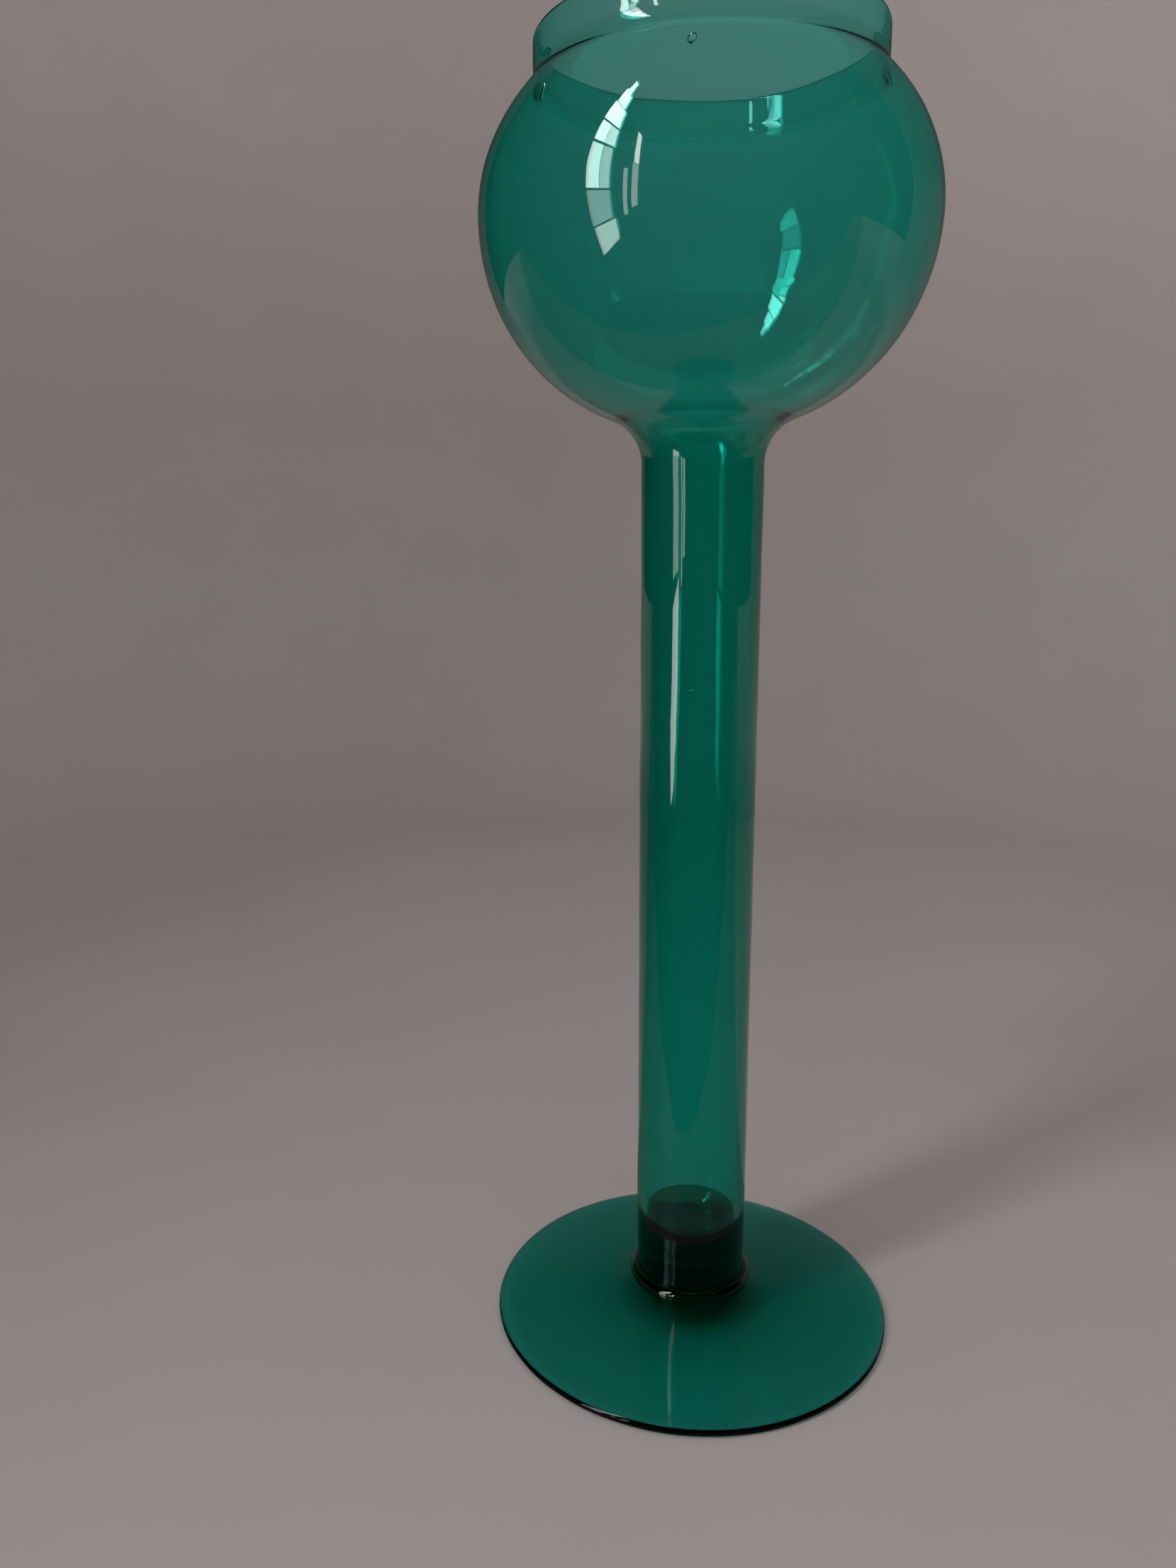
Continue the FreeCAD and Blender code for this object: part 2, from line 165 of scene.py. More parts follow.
def foot_outline():
    """Half-section of the foot, from the weld plane out over the top and back underneath."""
    dish_bend = (RING_INNER ** 2 + DISH_DEPTH ** 2) / (2 * DISH_DEPTH)
    dish_start = math.degrees(math.acos(RING_INNER / dish_bend))
    edge_centre = (FOOT_RADIUS - FOOT_EDGE, FOOT_EDGE)
    away = math.dist(COVE_END, edge_centre)
    toward = math.atan2(edge_centre[1] - COVE_END[1], edge_centre[0] - COVE_END[0])
    slope = toward + math.asin(FOOT_EDGE / away)
    edge_top = slope + math.pi / 2
    normal = (math.cos(edge_top), math.sin(edge_top))
    chord = (STEM_BASE - COVE_END[0], FOOT_TOP - COVE_END[1])
    along_normal = chord[0] * normal[0] + chord[1] * normal[1]
    cove_bend = (chord[0] ** 2 + chord[1] ** 2) / (2 * along_normal)
    cove_centre = (COVE_END[0] + cove_bend * normal[0], COVE_END[1] + cove_bend * normal[1])
    cove_from = math.degrees(math.atan2(FOOT_TOP - cove_centre[1], STEM_BASE - cove_centre[0]))
    cove_to = math.degrees(math.atan2(COVE_END[1] - cove_centre[1], COVE_END[0] - cove_centre[0]))
    weld = FOOT_TOP - WELD_GAP / 2
    edge_start = (edge_centre[0] + FOOT_EDGE * normal[0], edge_centre[1] + FOOT_EDGE * normal[1])
    return chained(
        straight((0, weld), (STEM_BASE, weld)),
        turned(cove_centre, cove_bend, cove_from, cove_to),
        straight(COVE_END, edge_start, MIDDLE_STEP),
        turned(edge_centre, FOOT_EDGE, math.degrees(edge_top), -90, EDGE_STEP),
        straight((edge_centre[0], 0), (RING_INNER, 0), MIDDLE_STEP),
        turned((0, DISH_DEPTH - dish_bend), dish_bend, dish_start, 90, DISH_STEP),
    )


def merese_outline():
    """Half-section of the bulged ring between foot and stem."""
    half = (MERESE_TOP - FOOT_TOP) / 2
    bulge = MERESE_RADIUS - STEM_BASE
    bend = (half ** 2 + bulge ** 2) / (2 * bulge)
    lean = math.degrees(math.asin((half - WELD_GAP / 2) / bend))
    side = turned((MERESE_RADIUS - bend, FOOT_TOP + half), bend, lean, -lean, BULGE_STEP)
    return chained(
        straight((0, side[0][1]), side[0]),
        side,
        straight(side[-1], (0, side[-1][1])),
    )


def plug_outline():
    """Half-section of the stem's solid end, with the closed end of the bore in its top."""
    top, bottom = PLUG_TOP - WELD_GAP / 2, MERESE_TOP + WELD_GAP / 2
    return chained(
        straight((0, top - CUP_CORNER), (BORE - CUP_CORNER, top - CUP_CORNER), MIDDLE_STEP),
        turned((BORE - CUP_CORNER, top), CUP_CORNER, -90, 0, CUP_STEP),
        straight((BORE, top), (plug_top_radius(), top), FINE_STEP),
        straight((plug_top_radius(), top), (STEM_BASE, bottom), MIDDLE_STEP),
        straight((STEM_BASE, bottom), (0, bottom)),
    )


def stem_outline():
    """Half-section of the long tube."""
    top, bottom = NECK_TOP - WELD_GAP / 2, PLUG_TOP + WELD_GAP / 2
    return chained(
        straight((BORE, top), (NECK_RADIUS, top), FINE_STEP),
        straight((NECK_RADIUS, top), (plug_top_radius(), bottom)),
        straight((plug_top_radius(), bottom), (BORE, bottom), FINE_STEP),
        straight((BORE, bottom), (BORE, top)),
    )


def crease_curve(crease, bend, collar):
    """A smooth curve from the globe's shoulder, past the crease, to the collar's wall.

    It is a quadratic curve with its corner at the crease. Returns its points below and above
    the weld plane, and the lean of the shoulder arc at its lower end."""
    middle = crease[0] - math.sqrt(bend ** 2 - (CREASE_HEIGHT - EQUATOR_HEIGHT) ** 2)
    lean = math.asin((CREASE_HEIGHT - EQUATOR_HEIGHT) / bend) - CREASE_REACH / bend
    low = (middle + bend * math.cos(lean), EQUATOR_HEIGHT + bend * math.sin(lean))
    high = (collar, CREASE_HEIGHT + CREASE_REACH)
    below, above = math.sqrt(CREASE_HEIGHT - low[1]), math.sqrt(CREASE_REACH)
    split = below / (below + above)

    def at(t):
        parts = ((1 - t) ** 2, 2 * t * (1 - t), t ** 2)
        return tuple(sum(p * c[i] for p, c in zip(parts, (low, crease, high))) for i in (0, 1))

    shares = [i / CREASE_STEPS for i in range(CREASE_STEPS + 1)]
    lower = [at(split * share) for share in shares]
    upper = [at(split + (1 - split) * share) for share in shares]
    lower[-1] = (lower[-1][0], CREASE_HEIGHT - WELD_GAP / 2)
    upper[0] = (upper[0][0], CREASE_HEIGHT + WELD_GAP / 2)
    return lower, upper, math.degrees(lean)


def shoulder_bend(equator, crease):
    """Radius of the arc that is upright at the widest circle and passes the crease."""
    rise, inset = CREASE_HEIGHT - EQUATOR_HEIGHT, equator - crease
    return (inset ** 2 + rise ** 2) / (2 * inset)


def globe_face(wall, cove, equator, ball, crease, collar):
    """One face of the globe from the neck up to the crease: line, cove, lower arc, shoulder."""
    across = wall + cove - (equator - ball)
    cove_height = EQUATOR_HEIGHT - math.sqrt((ball + cove) ** 2 - across ** 2)
    meet = math.degrees(math.acos(-across / (ball + cove)))
    bend = shoulder_bend(equator, crease)
    creased, _, lean = crease_curve((crease, CREASE_HEIGHT), bend, collar)
    bottom = NECK_TOP + WELD_GAP / 2
    return chained(
        straight((wall, bottom), (wall, cove_height), MIDDLE_STEP),
        turned((wall + cove, cove_height), cove, 180, meet),
        turned((equator - ball, EQUATOR_HEIGHT), ball, meet - 180, 0, GLOBE_STEP),
        turned((equator - bend, EQUATOR_HEIGHT), bend, 0, lean, GLOBE_STEP),
        creased,
    )


def globe_outline():
    """Half-section of the globe's wall, down the outside and up the inside."""
    inside = EQUATOR_RADIUS - BOWL_WALL
    outer = globe_face(NECK_RADIUS, FLARE, EQUATOR_RADIUS, LOWER_ARC, CREASE_RADIUS, COLLAR_RADIUS)
    inner = globe_face(BORE, THROAT, inside, LOWER_ARC - NECK_WALL, CREASE_INNER, COLLAR_INNER)
    return chained(
        outer[::-1],
        straight(outer[0], inner[0], FINE_STEP),
        inner,
        straight(inner[-1], outer[-1], FINE_STEP),
    )


def collar_outline():
    """Half-section of the collar, with its fully rounded lip."""
    lip = (COLLAR_RADIUS - COLLAR_INNER) / 2
    outer_bend = shoulder_bend(EQUATOR_RADIUS, CREASE_RADIUS)
    inner_bend = shoulder_bend(EQUATOR_RADIUS - BOWL_WALL, CREASE_INNER)
    _, outer, _ = crease_curve((CREASE_RADIUS, CREASE_HEIGHT), outer_bend, COLLAR_RADIUS)
    _, inner, _ = crease_curve((CREASE_INNER, CREASE_HEIGHT), inner_bend, COLLAR_INNER)
    return chained(
        turned((COLLAR_INNER + lip, LIP_HEIGHT - lip), lip, 180, 0, LIP_STEP),
        straight((COLLAR_RADIUS, LIP_HEIGHT - lip), outer[-1], FINE_STEP),
        outer[::-1],
        straight(outer[0], inner[0], FINE_STEP),
        inner,
        straight(inner[-1], (COLLAR_INNER, LIP_HEIGHT - lip), FINE_STEP),
    )


# ---------------------------------------------------------------- the unevenness of handwork
rng = np.random.default_rng(SEED)
WAVES = 28
WAVE_LENGTHS = (14, 45)
wave_ways = rng.normal(size=(WAVES, 3))
wave_ways /= np.linalg.norm(wave_ways, axis=1)[:, None]
wave_lengths = rng.uniform(*WAVE_LENGTHS, WAVES) * MM
wave_starts = rng.uniform(0, 2 * math.pi, (WAVES, 3))
# The lip's swells: height in mm, how many in a turn, and where they start, in radians.
LIP_SWELLS = [(0.16, 2, 0.7), (0.07, 5, 2.1)]
# Its small dips: angle and width in degrees, and depth in mm.
LIP_DIPS = [(-128, 2.6, 0.22), (-52, 3.4, 0.16), (74, 2.2, 0.26), (121, 4.0, 0.2), (163, 2.0, 0.15)]


def waviness(points):
    """A smooth vector noise of about WAVE_HEIGHT, the same wherever two pieces meet."""
    phases = (points @ wave_ways.T) * (2 * math.pi / wave_lengths)
    waves = np.sin(phases[:, :, None] + wave_starts[None, :, :])
    return waves.sum(1) * (WAVE_HEIGHT / math.sqrt(WAVES / 2))


def lip_fall(angles):
    """How far the lip lies below its highest point, in metres, at angles in radians."""
    fall = sum(swell * (1 + np.sin(turns * angles + start)) for swell, turns, start in LIP_SWELLS)
    for place, width, depth in LIP_DIPS:
        off = (np.degrees(angles) - place + 180) % 360 - 180
        fall = fall + depth * np.exp(-(off / width) ** 2)
    return fall * MM


def by_hand(points):
    """Move turned points as handwork would: slightly out of round, wavy, and an uneven lip."""
    moved = points.copy()
    moved[:, :2] *= INSET
    radius = np.hypot(points[:, 0], points[:, 1])
    angle = np.arctan2(points[:, 1], points[:, 0])
    above = np.clip((points[:, 2] - CREASE_HEIGHT) / (LIP_HEIGHT - CREASE_HEIGHT), 0, 1)
    moved[:, 2] -= lip_fall(angle) * above ** 2
    moved += waviness(points) * np.clip(radius / NECK_RADIUS, 0, 1)[:, None]
    moved[:, 2] = np.where(points[:, 2] < FLAT_BASE, points[:, 2], moved[:, 2])
    moved[:, 2] = np.clip(moved[:, 2], cad_low.z, cad_high.z)
    return moved


# ---------------------------------------------------------------- turning a half-section into glass
def is_weld(start, end, planes):
    """True if a run of the outline lies in one of the piece's weld planes."""
    level = abs(start[1] - end[1]) < NEARLY_ZERO
    return level and any(abs(start[1] - plane) < WELD_GAP for plane in planes)


def turn(name, outline, planes):
    """Turn a closed outline about Z into a watertight mesh, with its weld faces marked."""
    rings, vertices = [], []
    for r, z in outline:
        if r < NEARLY_ZERO:
            rings.append([len(vertices)])
            vertices.append((0, 0, z))
            continue
        rings.append(list(range(len(vertices), len(vertices) + AROUND)))
        for step in range(AROUND):
            a = 2 * math.pi * step / AROUND
            vertices.append((r * math.cos(a), r * math.sin(a), z))
    faces, welds = [], []
    for i, ring in enumerate(rings):
        following = rings[(i + 1) % len(rings)]
        if len(ring) == 1 and len(following) == 1:
            continue
        marked = is_weld(outline[i], outline[(i + 1) % len(rings)], planes)
        for step in range(AROUND):
            near, far = step, (step + 1) % AROUND
            corners = [ring[near % len(ring)], ring[far % len(ring)],
                       following[far % len(following)], following[near % len(following)]]
            faces.append(list(dict.fromkeys(corners)))
            welds.append(float(marked))
    points = by_hand(np.array(vertices))
    mesh = bpy.data.meshes.new(name)
    mesh.from_pydata(points.tolist(), [], faces)
    mesh.attributes.new("weld", "FLOAT", "FACE").data.foreach_set("value", welds)
    mesh.polygons.foreach_set("use_smooth", [True] * len(faces))
    return mesh


def face_outward(mesh):
    """Turn all normals outward and make the edges round weld faces sharp."""
    work = bmesh.new()
    work.from_mesh(mesh)
    bmesh.ops.recalc_face_normals(work, faces=work.faces)
    if work.calc_volume(signed=True) < 0:
        bmesh.ops.reverse_faces(work, faces=work.faces)
    weld = work.faces.layers.float["weld"]
    for edge in work.edges:
        pair = edge.link_faces
        if len(pair) == 2 and pair[0][weld] != pair[1][weld]:
            edge.smooth = False
    work.to_mesh(mesh)
    work.free()


def add_seed(work, centre, way, half_length, half_width, half_depth):
    """Add a bubble to a mesh: a small ellipsoid whose normals point into its hollow."""
    outward = Vector((centre.x, centre.y, 0)).normalized()
    along = (way - outward * way.dot(outward)).normalized()
    across = outward.cross(along)
    turn_to = Matrix((along, across, outward)).transposed().to_4x4()
    size = Matrix.Diagonal((half_length, half_width, half_depth, 1))
    place = Matrix.Translation(centre) @ turn_to @ size
    made = bmesh.ops.create_icosphere(work, subdivisions=3, radius=1.0, matrix=place)
    found = {face for vertex in made["verts"] for face in vertex.link_faces}
    for face in found:
        face.smooth = True
    bmesh.ops.reverse_faces(work, faces=list(found))


def make_piece(name, outline, planes, node, material, seeds=()):
    """Make one glass piece that stands for a CAD node and rides on the one body."""
    mesh = turn(name, outline, planes)
    face_outward(mesh)
    if seeds:
        work = bmesh.new()
        work.from_mesh(mesh)
        for seed in seeds:
            add_seed(work, *seed)
        work.to_mesh(mesh)
        work.free()
    mesh.materials.append(material)
    piece = bpy.data.objects.new(name, mesh)
    bpy.context.scene.collection.objects.link(piece)
    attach(piece, "root")
    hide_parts(node)


# ---------------------------------------------------------------- materials
GLASS_IOR = 1.51
ABSORBED_PER_METRE = (1000.0, 150.0, 210.0)
DENSITY_MARGIN = 1.05
# The foot mirrors and absorbs less than the rest, to match how it looks in the photo.
FOOT_IOR = 1.38
FOOT_ABSORBED_SHARE = 0.7
SMUDGE_SCALE = 38.0
SMUDGE_FROM = 0.45
SMUDGE_FULL = 0.8
STRIA_SCALE = 60.0
STRIA_TINT = (0.93, 0.985, 0.97, 1)
CLEAR = (1.0, 1.0, 1.0, 1)
RIPPLE_HEIGHT = 0.12 * MM
RIPPLE_STRENGTH = 0.25


def add_node(tree, kind, at, **values):
    """Add a shader node and set its plain input values by name."""
    made = tree.nodes.new(kind)
    made.location = at
    for key, value in values.items():
        made.inputs[key.replace("_", " ")].default_value = value
    return made


def glass_material(name, streak_scale, smudge, glass_ior=GLASS_IOR, absorbed_share=1.0):
    """Clear teal glass, coloured by its depth, with faint striae, smudges and ripples.

    Its index is 1 on weld faces, so that light crosses a joint as if the glass were fused."""
    material = bpy.data.materials.new(name)
    material.use_nodes = True
    tree = material.node_tree
    tree.nodes.clear()
    link = tree.links.new
    output = add_node(tree, "ShaderNodeOutputMaterial", (900, 0))
    shader = add_node(tree, "ShaderNodeBsdfPrincipled", (600, 0), Transmission_Weight=1.0)
    absorbed = [amount * absorbed_share for amount in ABSORBED_PER_METRE]
    density = max(absorbed) * DENSITY_MARGIN
    colour = (*(1 - amount / density for amount in absorbed), 1)
    volume = add_node(tree, "ShaderNodeVolumeAbsorption", (600, -500), Density=density, Color=colour)
    link(shader.outputs["BSDF"], output.inputs["Surface"])
    link(volume.outputs["Volume"], output.inputs["Volume"])

    place = add_node(tree, "ShaderNodeTexCoord", (-900, 0))
    weld = add_node(tree, "ShaderNodeAttribute", (0, 300))
    weld.attribute_name = "weld"
    ior = add_node(tree, "ShaderNodeMapRange", (300, 300))
    ior.inputs["To Min"].default_value = glass_ior
    ior.inputs["To Max"].default_value = 1.0
    link(weld.outputs["Fac"], ior.inputs["Value"])
    link(ior.outputs["Result"], shader.inputs["IOR"])

    smudges = add_node(tree, "ShaderNodeTexNoise", (-300, 100), Scale=SMUDGE_SCALE, Detail=5.0,
                       Roughness=0.6)
    spread = add_node(tree, "ShaderNodeMapRange", (0, 100))
    spread.inputs["From Min"].default_value = SMUDGE_FROM
    spread.inputs["From Max"].default_value = SMUDGE_FULL
    spread.inputs["To Max"].default_value = smudge
    link(place.outputs["Object"], smudges.inputs["Vector"])
    link(smudges.outputs["Fac"], spread.inputs["Value"])
    link(spread.outputs["Result"], shader.inputs["Roughness"])

    stretch = add_node(tree, "ShaderNodeMapping", (-600, -200), Scale=streak_scale)
    striae = add_node(tree, "ShaderNodeTexNoise", (-300, -200), Scale=STRIA_SCALE, Detail=3.0,
                      Roughness=0.5)
    tint = add_node(tree, "ShaderNodeMix", (0, -200))
    tint.data_type = "RGBA"
    tint.inputs["A"].default_value = STRIA_TINT
    tint.inputs["B"].default_value = CLEAR
    ripple = add_node(tree, "ShaderNodeBump", (300, -200), Strength=RIPPLE_STRENGTH,
                      Distance=RIPPLE_HEIGHT)
    link(place.outputs["Object"], stretch.inputs["Vector"])
    link(stretch.outputs["Vector"], striae.inputs["Vector"])
    link(striae.outputs["Fac"], tint.inputs["Factor"])
    link(tint.outputs["Result"], shader.inputs["Base Color"])
    link(striae.outputs["Fac"], ripple.inputs["Height"])
    link(ripple.outputs["Normal"], shader.inputs["Normal"])
    return material


bowl_glass = glass_material("bowl_glass", streak_scale=(0.12, 0.12, 1.0), smudge=0.02)
stem_glass = glass_material("stem_glass", streak_scale=(1.0, 1.0, 0.08), smudge=0.04)
solid_glass = glass_material("solid_glass", streak_scale=(1.0, 1.0, 0.3), smudge=0.05)
foot_glass = glass_material("foot_glass", streak_scale=(0.6, 0.6, 1.0), smudge=0.12,
                            glass_ior=FOOT_IOR, absorbed_share=FOOT_ABSORBED_SHARE)

# ---------------------------------------------------------------- the glass pieces
SEED_DEPTH = 0.25 * MM


def around_axis(azimuth, distance, height):
    """A place at an azimuth in degrees, 0 in front (-Y) and 90 to the right (+X)."""
    a = math.radians(azimuth)
    return Vector((distance * math.sin(a), -distance * math.cos(a), height))


def seed_at(azimuth, height, radius, way, half_length, half_width):
    """Where one small bubble sits in the wall, how it lies and how big it is."""
    centre = around_axis(azimuth, radius, height)
    return centre, Vector(way), half_length, half_width, SEED_DEPTH


BOWL_SEEDS = [
    seed_at(-4.2, 284.5 * MM, 42.65 * MM, (0.3, 0, 1), 1.35 * MM, 0.8 * MM),
    seed_at(-44.3, 279.8 * MM, 45.55 * MM, (0.1, 0, 1), 2.0 * MM, 0.5 * MM),
    seed_at(48.0, 279.7 * MM, 45.65 * MM, (-0.2, 0, 1), 1.4 * MM, 0.35 * MM),
]
STEM_SEEDS = [seed_at(-7.3, 160.5 * MM, 12.6 * MM, (1, 0, 0.2), 1.0 * MM, 0.6 * MM)]

make_piece("disc_foot_glass", foot_outline(), [FOOT_TOP], "disc_foot", foot_glass)
make_piece("merese_glass", merese_outline(), [FOOT_TOP, MERESE_TOP], "merese_ring",
           solid_glass)
make_piece("stem_plug_glass", plug_outline(), [MERESE_TOP, PLUG_TOP], "stem_plug",
           solid_glass)
make_piece("hollow_stem_glass", stem_outline(), [PLUG_TOP, NECK_TOP], "hollow_stem",
           stem_glass, STEM_SEEDS)
make_piece("globe_bowl_glass", globe_outline(), [NECK_TOP, CREASE_HEIGHT],
           "globe_bowl", bowl_glass, BOWL_SEEDS)
make_piece("collar_rim_glass", collar_outline(), [CREASE_HEIGHT], "collar_rim",
           bowl_glass)


# ---------------------------------------------------------------- stage, light and camera
STAGE_FLAT = 0.55
STAGE_BEND = 0.30
STAGE_HEIGHT = 1.3
STAGE_AROUND = 128
STAGE_RINGS = 8
STAGE_STEP = 0.02
FLOOR_DROP = 0.05 * MM
PLASTER_DEEP = (0.53, 0.475, 0.46, 1)
PLASTER_PALE = (0.58, 0.525, 0.51, 1)
PLASTER_ROUGHNESS = 0.6
# Height where the painted light and shade on the stage reach their upper value.
PAINTED_LIGHT_HEIGHT = 0.55
# Cards that only the glass mirrors: a floor in two parts, and the wall behind. Their sizes and
# brightness make the reflections in the glass as dark as they are in the photo.
SHELF_FRONT = 0.117
SHELF_MIDDLE = 0.06
SHELF_TURN = -15.0
SHELF_REACH = 3.0
BACK_WALL_RADIUS = 0.84
BACK_WALL_ENDS = (108.0, 222.0)
BACK_WALL_STEP = 2.0
WORLD_COLOUR = (0.95, 0.97, 1.0, 1)
WORLD_STRENGTH = 0.74


def stage_material(name, low, high):
    """Pale, slightly pink grey with a faint mottling, and painted light and shade: its brightness
    changes with height.
    """
    material = bpy.data.materials.new(name)
    material.use_nodes = True
    tree = material.node_tree
    shader = tree.nodes["Principled BSDF"]
    shader.inputs["Roughness"].default_value = PLASTER_ROUGHNESS
    place = add_node(tree, "ShaderNodeTexCoord", (-1200, 0))
    mottle = add_node(tree, "ShaderNodeTexNoise", (-900, 0), Scale=9.0, Detail=4.0)
    tint = add_node(tree, "ShaderNodeMix", (-600, 0))
    tint.data_type = "RGBA"
    tint.inputs["A"].default_value = PLASTER_DEEP
    tint.inputs["B"].default_value = PLASTER_PALE
    height = add_node(tree, "ShaderNodeSeparateXYZ", (-900, -300))
    # Painted light and shade: the colour is scaled from low at the floor to high at
    # PAINTED_LIGHT_HEIGHT and above.
    fall = add_node(tree, "ShaderNodeMapRange", (-600, -300))
    fall.inputs["From Max"].default_value = PAINTED_LIGHT_HEIGHT
    fall.inputs["To Min"].default_value = low
    fall.inputs["To Max"].default_value = high
    painted_light_and_shade = add_node(tree, "ShaderNodeVectorMath", (-300, 0))
    painted_light_and_shade.operation = "SCALE"
    link = tree.links.new
    link(place.outputs["Object"], mottle.inputs["Vector"])
    link(place.outputs["Object"], height.inputs["Vector"])
    link(height.outputs["Z"], fall.inputs["Value"])
    link(mottle.outputs["Fac"], tint.inputs["Factor"])
    link(tint.outputs["Result"], painted_light_and_shade.inputs[0])
    link(fall.outputs["Result"], painted_light_and_shade.inputs["Scale"])
    link(painted_light_and_shade.outputs["Vector"], shader.inputs["Base Color"])
    return material


def make_stage_piece(name, vertices, faces, material):
    """Make one piece of the stage."""
    mesh = bpy.data.meshes.new(name)
    mesh.from_pydata(vertices, [], faces)
    mesh.polygons.foreach_set("use_smooth", [True] * len(faces))
    mesh.materials.append(material)
    piece = bpy.data.objects.new(name, mesh)
    bpy.context.scene.collection.objects.link(piece)
    return piece


def make_stage(material):
    """A round floor that sweeps up into a wall all the way round."""
    outline = [(STAGE_FLAT * i / STAGE_RINGS, 0) for i in range(STAGE_RINGS + 1)]
    outline += turned((STAGE_FLAT, STAGE_BEND), STAGE_BEND, -90, 0, STAGE_STEP)[1:]
    outline += [(STAGE_FLAT + STAGE_BEND, STAGE_HEIGHT)]
    vertices, faces = [(0, 0, -FLOOR_DROP)], []
    for r, z in outline[1:]:
        for step in range(STAGE_AROUND):
            a = 2 * math.pi * step / STAGE_AROUND
            vertices.append((r * math.cos(a), r * math.sin(a), z - FLOOR_DROP))
    for step in range(STAGE_AROUND):
        far = (step + 1) % STAGE_AROUND
        faces.append((0, 1 + step, 1 + far))
        for ring in range(len(outline) - 2):
            low, high = 1 + ring * STAGE_AROUND, 1 + (ring + 1) * STAGE_AROUND
            faces.append((low + step, high + step, high + far, low + far))
    sweep = make_stage_piece("studio_sweep", vertices, faces, material)
    sweep.visible_glossy = False


def seen_in_reflections_only(piece):
    """Hide a stage piece from everything except rays mirrored by the glass."""
    piece.visible_camera = False
    piece.visible_diffuse = False
    piece.visible_transmission = False
    piece.visible_shadow = False


def make_shelf(name, near, far, material):
    """Part of the floor that the glass mirrors; the near part ends in a straight edge."""
    turned_by = math.radians(SHELF_TURN)
    along = Vector((math.cos(turned_by), math.sin(turned_by), 0)) * SHELF_REACH
    back = Vector((-math.sin(turned_by), math.cos(turned_by), 0))
    low = Vector((0, 0, -FLOOR_DROP / 2))
    vertices = [low + near * back - along, low + near * back + along,
                low + far * back + along, low + far * back - along]
    shelf = make_stage_piece(name, vertices, [(0, 1, 2, 3)], material)
    seen_in_reflections_only(shelf)


def make_back_wall(material):
    """The wall behind the vase that the edges of the glass mirror."""
    first, last = BACK_WALL_ENDS
    steps = round((last - first) / BACK_WALL_STEP)
    vertices, faces = [], []
    for step in range(steps + 1):
        azimuth = first + BACK_WALL_STEP * step
        vertices += [around_axis(azimuth, BACK_WALL_RADIUS, 0.0),
                     around_axis(azimuth, BACK_WALL_RADIUS, STAGE_HEIGHT)]
    for step in range(steps):
        faces.append((2 * step, 2 * step + 2, 2 * step + 3, 2 * step + 1))
    wall = make_stage_piece("studio_back_wall", vertices, faces, material)
    seen_in_reflections_only(wall)


def soft_light(name, place, way, size, power, colour):
    """A rectangular area light, shining along way, that the camera doesn't see."""
    data = bpy.data.lights.new(name, "AREA")
    data.shape = "RECTANGLE"
    data.size, data.size_y = size
    data.energy = power
    data.color = colour
    lamp = bpy.data.objects.new(name, data)
    bpy.context.scene.collection.objects.link(lamp)
    lamp.location = place
    lamp.rotation_mode = "QUATERNION"
    lamp.rotation_quaternion = Vector(way).to_track_quat("-Z", "Y")
    lamp.visible_camera = False
    return lamp


def make_world():
    """Dim, even light from above the sweep, which the glass doesn't mirror."""
    world = bpy.data.worlds.new("studio_air")
    bpy.context.scene.world = world
    world.use_nodes = True
    back = world.node_tree.nodes["Background"]
    back.inputs["Color"].default_value = WORLD_COLOUR
    back.inputs["Strength"].default_value = WORLD_STRENGTH
    world.cycles_visibility.glossy = False


# The main window's lower corners: azimuth in degrees and distance from the vase's axis.
WINDOW_LEFT = (-54.3, 0.55)
WINDOW_RIGHT = (-41.0, 0.787)
# Panes that start below this height light only the glass, which lessens the glare on the floor.
LOW_PANE = 0.2
# Panes: left and right end in shares of the main window's width, bottom and top height,
# radiance and colour. Shares above 1 are the narrow panes to the right of the main window.
PANES = [
    (0.02, 0.85, 0.01, 0.145, 6.5, (1.0, 0.93, 0.9)),
    (0.0, 0.72, 0.155, 0.305, 3.4, (0.95, 1.0, 1.0)),
    (0.0, 0.34, 0.315, 0.525, 11.0, (0.97, 1.0, 1.0)),
    (0.37, 0.70, 0.315, 0.525, 6.0, (0.95, 1.0, 1.0)),
    (0.0, 0.34, 0.54, 0.665, 15.0, (1.0, 1.0, 1.0)),
    (0.37, 0.74, 0.54, 0.665, 10.0, (1.0, 1.0, 1.0)),
    (0.0, 0.70, 0.68, 0.84, 17.0, (1.0, 1.0, 1.0)),
    (0.05, 0.55, 0.85, 1.0, 16.0, (1.0, 1.0, 1.0)),
    (0.15, 0.38, 1.0, 1.16, 14.0, (1.0, 1.0, 1.0)),
    (1.40, 1.70, 0.13, 0.44, 4.5, (0.95, 1.0, 1.0)),
    (2.05, 2.70, 0.16, 0.50, 4.5, (0.97, 1.0, 1.0)),
    (2.15, 2.70, 0.51, 0.84, 12.0, (1.0, 1.0, 1.0)),
]


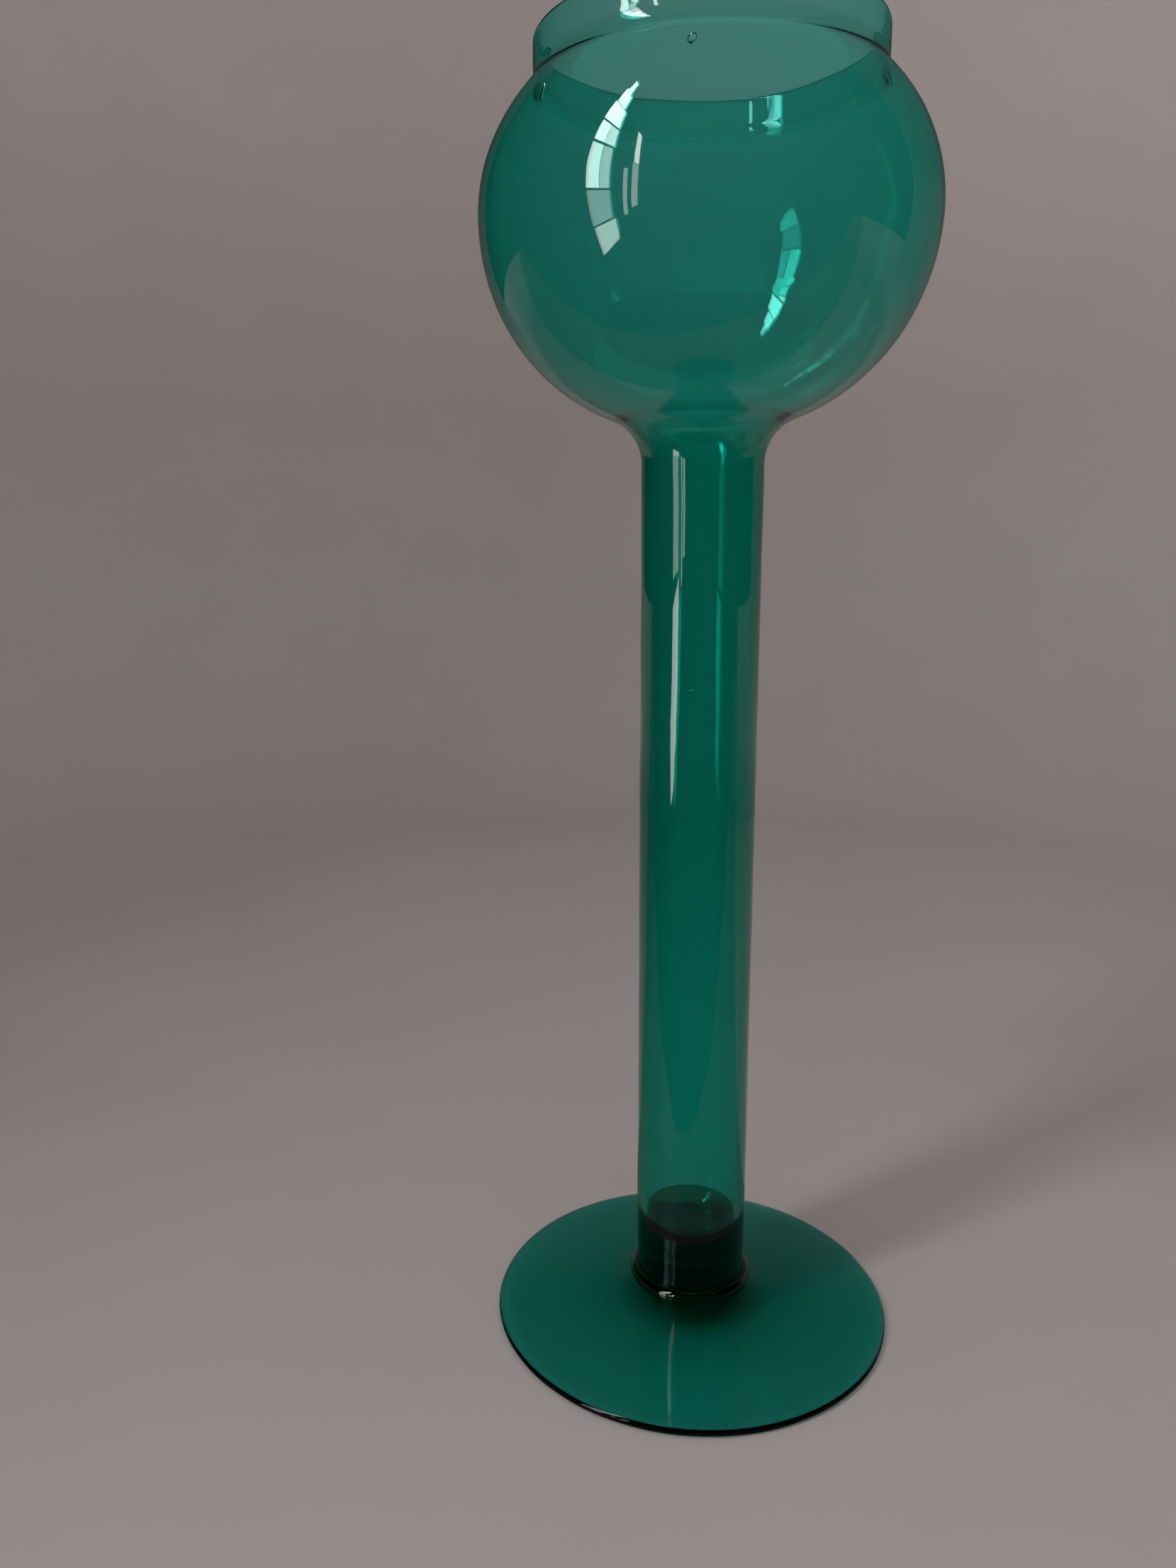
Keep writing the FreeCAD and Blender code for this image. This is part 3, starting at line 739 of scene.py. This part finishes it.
def make_window():
    """A tall window to the front left, which lights the vase and is mirrored in it."""
    left, right = around_axis(*WINDOW_LEFT, 0), around_axis(*WINDOW_RIGHT, 0)
    along = right - left
    facing = Vector((0, 0, 1)).cross(along).normalized()
    if facing.dot(left) > 0:
        facing = -facing
    for number, (start, end, bottom, top, radiance, colour) in enumerate(PANES):
        centre = left + along * (start + end) / 2
        centre.z = (bottom + top) / 2
        size = (along.length * (end - start), top - bottom)
        power = radiance * math.pi * size[0] * size[1]
        pane = soft_light(f"window_pane_{number}", centre, facing, size, power, colour)
        pane.visible_diffuse = bottom > LOW_PANE


# The two numbers of a stage material are its brightness at the floor and at PAINTED_LIGHT_HEIGHT, a
# painted ramp of light and shade.
# The sweep is painted darker on the floor and brighter up its wall: painted light and shade.
make_stage(stage_material("stage_plaster", 0.88, 1.12))
make_shelf("studio_shelf_near", -SHELF_FRONT, SHELF_MIDDLE, stage_material("stage_near", 0.3, 0.3))
make_shelf("studio_shelf_far", SHELF_MIDDLE, SHELF_REACH, stage_material("stage_far", 0.9, 0.9))
# The back wall that only the glass mirrors is painted darker towards its top: painted shade in the
# reflections.
make_back_wall(stage_material("stage_back", 0.9, 0.15))
make_world()
make_window()

# The camera's place in metres, its angles in degrees and its lens in millimetres.
CAMERA_PLACE = (0.0, -0.2844, 0.1961)
CAMERA_PITCH = 10.24
CAMERA_YAW = -6.44
CAMERA_ROLL = -0.22
CAMERA_LENS = 27.73
CAMERA_SENSOR = 36.0
CAMERA_SHIFT = (0.0154, -0.0225)
CAMERA_CLIP = 0.01


def make_camera():
    """The camera: a little above the middle of the vase, looking down and a little left."""
    data = bpy.data.cameras.new("camera")
    data.lens = CAMERA_LENS
    data.sensor_width = CAMERA_SENSOR
    data.sensor_fit = "AUTO"
    data.shift_x, data.shift_y = CAMERA_SHIFT
    data.clip_start = CAMERA_CLIP
    camera = bpy.data.objects.new("camera", data)
    bpy.context.scene.collection.objects.link(camera)
    yaw, pitch, roll = (math.radians(a) for a in (CAMERA_YAW, CAMERA_PITCH, CAMERA_ROLL))
    level_way = Vector((math.sin(yaw), math.cos(yaw), 0)) * math.cos(pitch)
    forward = level_way - Vector((0, 0, math.sin(pitch)))
    level = forward.cross(Vector((0, 0, 1))).normalized()
    upward = level.cross(forward)
    side = math.cos(roll) * level + math.sin(roll) * upward
    top = -math.sin(roll) * level + math.cos(roll) * upward
    turn_to = Matrix((side, top, -forward)).transposed().to_4x4()
    camera.matrix_world = Matrix.Translation(CAMERA_PLACE) @ turn_to
    bpy.context.scene.camera = camera


make_camera()
bpy.context.scene.view_settings.view_transform = "Standard"
